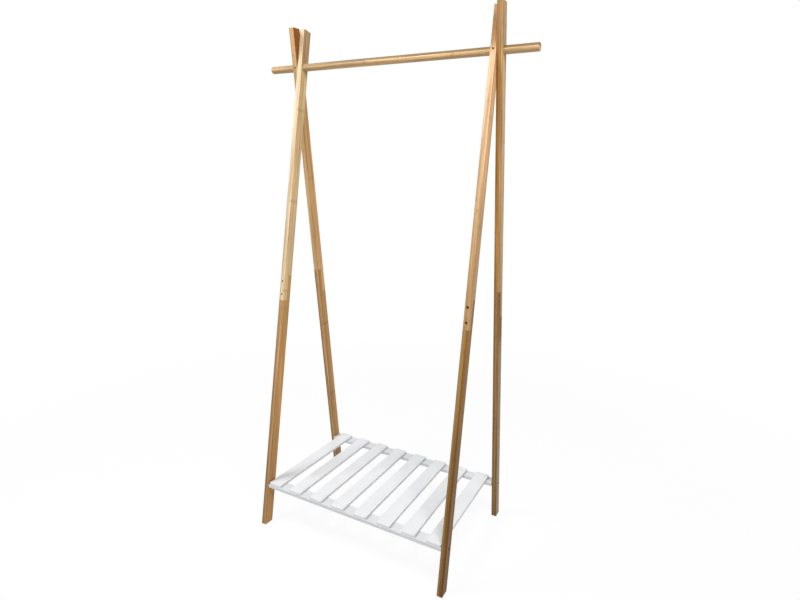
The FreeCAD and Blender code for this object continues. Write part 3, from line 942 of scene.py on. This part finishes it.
@dataclass
class CrossedLegs:
    """The four legs, each of an upper and a lower bar."""

    thickness: float = 18.0 * MM
    depth: float = 28.0 * MM
    finishes: dict[tuple[Foot, Side, Length], BambooFinish] = field(
        default_factory=lambda: {
            (Foot.FRONT, Side.LEFT, Length.UPPER): CREAM,
            (Foot.FRONT, Side.RIGHT, Length.UPPER): ROSY_CREAM,
            (Foot.REAR, Side.LEFT, Length.UPPER): HONEY,
            (Foot.REAR, Side.RIGHT, Length.UPPER): AMBER,
            (Foot.FRONT, Side.LEFT, Length.LOWER): TOASTED,
            (Foot.FRONT, Side.RIGHT, Length.LOWER): DARK_BROWN,
            (Foot.REAR, Side.LEFT, Length.LOWER): BROWN,
            (Foot.REAR, Side.RIGHT, Length.LOWER): RED_BROWN,
        }
    )

    def axes(self, node: str, foot: Vector, rail_height: float) -> PieceAxes:
        """Find a bar's own axes from its leg's foot.

        Args:
            node: The bar's node.
            foot: The middle of the foot's sole.
            rail_height: The height of the rail's axis, which the leg passes through.

        Returns:
            The axes, with the origin on the rail's axis.
        """
        low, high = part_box(node)
        lean = math.atan2(foot.y, rail_height)
        half_size = (self.thickness / 2, self.depth / 2, rail_height)
        return PieceAxes(
            origin=(foot.x, 0.0, rail_height),
            turn=(lean, 0.0, 0.0),
            half_size=half_size,
            tint_start=high.z,
            tint_end=low.z,
        )

    def dress(self, dresser: Dresser) -> None:
        """Put each bar's bamboo on it.

        Args:
            dresser: Holds the nodes and the shared effects.
        """
        for seed, ((foot, side, length), finish) in enumerate(self.finishes.items(), start=1):
            node = f"{foot.value}_{side.value}_{length.value}_leg"
            sole = dresser.mount(f"{foot.value}_{side.value}_foot")
            axes = self.axes(node, sole, dresser.rail_height())
            dresser.put_on(node, finish.material(f"bamboo_{node}", axes, seed, dresser.effects))


@dataclass
class HangingRail:
    """The round bar that carries the hangers; its strips lie a little low and grow paler to the left, and
    its dark top strip is painted shade along the rail's top.
    """

    node: str = "hanging_rail"
    finish: BambooFinish = RAIL_HONEY_SHADED_TOP
    seed: float = 21.0
    # How far the strips are lowered, so that the painted shade of the top strip covers the rail's top
    shaded_strip_drop: float = 3.0 * MM
    pale_gap: float = 50.0 * MM
    edge_clearance: float = 2.0

    def dress(self, dresser: Dresser) -> None:
        """Put the rail's bamboo on it.

        Args:
            dresser: Holds the nodes and the shared effects.
        """
        low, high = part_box(self.node)
        half = (high - low) / 2
        middle = (low + high) / 2 - Vector((0.0, 0.0, self.shaded_strip_drop))
        # A round bar has no long edges to darken, so they are taken to lie outside it
        beyond = self.edge_clearance
        axes = PieceAxes(
            origin=tuple(middle),
            turn=FibreRun.ALONG_X.value,
            half_size=(half.z * beyond, half.y * beyond, half.x),
            tint_run=TintRun.SIDEWAYS,
            tint_start=middle.x - self.pale_gap,
            tint_end=low.x,
        )
        material = self.finish.material(f"bamboo_{self.node}", axes, self.seed, dresser.effects)
        dresser.put_on(self.node, material)


@dataclass
class SlattedShelf:
    """Eight white slats on two white rails, whose white is painted darker as painted shade."""

    rails: tuple[str, ...] = ("shelf_front_rail", "shelf_rear_rail")
    slat_count: int = 8
    slat_paint: PaintFinish = SLAT_WHITE
    shaded_rail_paint: PaintFinish = SHADED_RAIL_WHITE

    def axes(self, node: str, run: FibreRun) -> PieceAxes:
        """Find a board's own axes from its box.

        Args:
            node: The board's node.
            run: Which way its grain runs.

        Returns:
            The axes, with the origin at the board's middle.
        """
        low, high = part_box(node)
        half = (high - low) / 2
        turned = {
            FibreRun.ALONG_X: (half.z, half.y, half.x),
            FibreRun.ALONG_Y: (half.x, half.z, half.y),
        }
        return PieceAxes(origin=tuple((low + high) / 2), turn=run.value, half_size=turned[run])

    def dress(self, dresser: Dresser) -> None:
        """Paint the slats and the rails.

        Args:
            dresser: Holds the nodes and the shared effects.
        """
        boards = [(node, FibreRun.ALONG_X, self.shaded_rail_paint) for node in self.rails]
        slats = [f"shelf_slat_{number}" for number in range(1, self.slat_count + 1)]
        boards += [(node, FibreRun.ALONG_Y, self.slat_paint) for node in slats]
        for seed, (node, run, paint) in enumerate(boards, start=1):
            material = paint.material(f"paint_{node}", self.axes(node, run), seed, dresser.effects)
            dresser.put_on(node, material)


@dataclass
class Fasteners:
    """The bolts, inserts and screws."""

    coated: tuple[str, ...] = ("lap_bolts", "rail_lock_screws", "shelf_screws")
    plated: tuple[str, ...] = ("lap_inserts", "slat_screws")
    recess_lit_coat: SteelFinish = RECESS_LIT_COAT
    zinc: SteelFinish = YELLOW_ZINC

    def dress(self, dresser: Dresser) -> None:
        """Put the coated finish, a warm brown that paints the wood-lit look of their recesses, on the
        bolts and leg screws and the zinc on the rest.

        Args:
            dresser: Holds the nodes and the shared effects.
        """
        dark = self.recess_lit_coat.material("dark_coated_screws", dresser.effects)
        zinc = self.zinc.material("zinc_fasteners", dresser.effects)
        for node in self.coated:
            dresser.put_on(node, dark)
        for node in self.plated:
            dresser.put_on(node, zinc)


@dataclass(frozen=True)
class SoftBox:
    """One soft lamp of the studio."""

    name: str
    place: Triple
    aim: Triple
    size: float
    power: float


@dataclass
class Studio:
    """A pale floor, soft lamps and an even white surround; strengths of 1 show white."""

    floor_width: float = 60.0
    floor_colour: Triple = tone(246, 246, 246)
    # The share of plain white in the floor's look under the stand, and where it rises to the whole
    floor_glow: float = 0.93
    shadow_reach: tuple[float, float] = (0.9, 2.4)
    # The surround's strength where it lights the object rather than being looked at
    ambient: float = 0.27
    lamps: tuple[SoftBox, ...] = (
        SoftBox("left_lamp", place=(-1.2, -1.0, 3.0), aim=(-0.2, 0.0, 0.9), size=0.9, power=50.0),
        SoftBox("right_lamp", place=(1.2, -1.0, 3.0), aim=(0.2, 0.0, 0.9), size=0.9, power=50.0),
        SoftBox("top_lamp", place=(0.0, 0.1, 2.9), aim=(0.0, 0.0, 0.0), size=1.2, power=4.0),
    )

    def build(self) -> None:
        """Make the floor, the surround and the lamps."""
        self.build_floor()
        self.build_surround()
        for lamp in self.lamps:
            self.hang(lamp)

    def seen(self, bench: Bench) -> bpy.types.NodeSocket:
        """Mark what is looked at, straight or in a reflection, rather than what only lights the object.

        Args:
            bench: The tree of the floor's or the surround's material.

        Returns:
            A socket that is 1 for what is looked at.
        """
        ray = bench.add("LightPath").outputs
        mirrored = bench.math("MAXIMUM", ray["Is Glossy Ray"], ray["Is Transmission Ray"])
        return bench.math("MAXIMUM", ray["Is Camera Ray"], mirrored)

    def build_floor(self) -> None:
        """Lay the floor, which shows white and keeps the object's shadow."""
        half = self.floor_width / 2
        mesh = bpy.data.meshes.new("floor")
        corners = [(-half, -half, 0.0), (half, -half, 0.0), (half, half, 0.0), (-half, half, 0.0)]
        mesh.from_pydata(corners, [], [(0, 1, 2, 3)])
        floor = bpy.data.objects.new("floor", mesh)
        bpy.context.scene.collection.objects.link(floor)
        material, bench = new_material("pale_floor")
        matt = bench.add("BsdfDiffuse", {"Color": self.floor_colour}).outputs[0]
        glow = bench.add("Emission", {"Color": (1.0, 1.0, 1.0), "Strength": 1.0}).outputs[0]
        spot = bench.add("TexCoord").outputs["Object"]
        away = bench.add("VectorMath", {0: spot}, operation="LENGTH").outputs["Value"]
        veil = bench.ramp(away, *self.shadow_reach, self.floor_glow, 1.0)
        share = bench.math("MULTIPLY", self.seen(bench), veil)
        close_material(bench, bench.add("MixShader", {0: share, 1: matt, 2: glow}).outputs[0])
        mesh.materials.append(material)
        LOG.info("floor: %s", material.name)

    def build_surround(self) -> None:
        """Set the white surround and its gentle light."""
        world = bpy.data.worlds.new("white_surround")
        world.use_nodes = True
        bpy.context.scene.world = world
        bench = Bench(world.node_tree)
        strength = bench.ramp(self.seen(bench), 0.0, 1.0, self.ambient, 1.0)
        background = bench.add("Background", {"Color": (1.0, 1.0, 1.0), "Strength": strength})
        bench.add("OutputWorld", {"Surface": background.outputs[0]})
        LOG.info("surround: %s", world.name)

    def hang(self, lamp: SoftBox) -> None:
        """Hang one lamp and turn it to its aim.

        Args:
            lamp: The lamp.
        """
        light = bpy.data.lights.new(lamp.name, "AREA")
        light.shape = "SQUARE"
        light.size = lamp.size
        light.energy = lamp.power
        piece = bpy.data.objects.new(lamp.name, light)
        piece.location = lamp.place
        aim = Vector(lamp.aim) - Vector(lamp.place)
        piece.rotation_euler = aim.to_track_quat("-Z", "Y").to_euler()
        bpy.context.scene.collection.objects.link(piece)
        LOG.info("lamp: %s", lamp.name)


@dataclass
class PhotoCamera:
    """The camera at the photograph's viewpoint; pixels are those of an 800 by 600 image."""

    place: Triple = (0.7938, -1.1989, 1.0754)
    yaw: float = -0.3955
    pitch: float = -0.1678
    roll: float = 0.0485
    focal_pixels: float = 454.17
    axis_pixel: tuple[float, float] = (471.9, 282.1)
    image: tuple[int, int] = (800, 600)
    sensor: float = 36.0
    nearest: float = 10.0 * MM

    def turn(self) -> Matrix:
        """Work out the camera's axes.

        Returns:
            The rotation, with the camera's X to the right of the image and Y up it.
        """
        level = math.cos(self.pitch)
        ahead = Vector((math.sin(self.yaw) * level, math.cos(self.yaw) * level, math.sin(self.pitch)))
        right = Vector((math.cos(self.yaw), -math.sin(self.yaw), 0.0))
        up = right.cross(ahead)
        rolled_right = right * math.cos(self.roll) + up * math.sin(self.roll)
        rolled_up = up * math.cos(self.roll) - right * math.sin(self.roll)
        return Matrix((rolled_right, rolled_up, -ahead)).transposed()

    def build(self) -> None:
        """Make the camera and give it to the scene."""
        width, height = self.image
        lens = bpy.data.cameras.new("photo_camera")
        lens.sensor_width = self.sensor
        lens.lens = self.focal_pixels / width * self.sensor
        lens.shift_x = (width / 2 - self.axis_pixel[0]) / width
        lens.shift_y = (self.axis_pixel[1] - height / 2) / width
        lens.clip_start = self.nearest
        camera = bpy.data.objects.new("photo_camera", lens)
        camera.matrix_world = Matrix.Translation(self.place) @ self.turn().to_4x4()
        bpy.context.scene.collection.objects.link(camera)
        bpy.context.scene.camera = camera
        LOG.info("camera: lens %.2f mm", lens.lens)


def main() -> None:
    """Dress the stand and set the studio around it."""
    logging.basicConfig(level=logging.INFO, format="%(name)s %(message)s")
    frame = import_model()
    bpy.context.scene.view_settings.view_transform = "Standard"
    PhotoCamera().build()
    dresser = Dresser(frame)
    for assembly in (CrossedLegs(), HangingRail(), SlattedShelf(), Fasteners()):
        assembly.dress(dresser)
    Studio().build()
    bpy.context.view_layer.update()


if __name__ == "__main__":
    main()
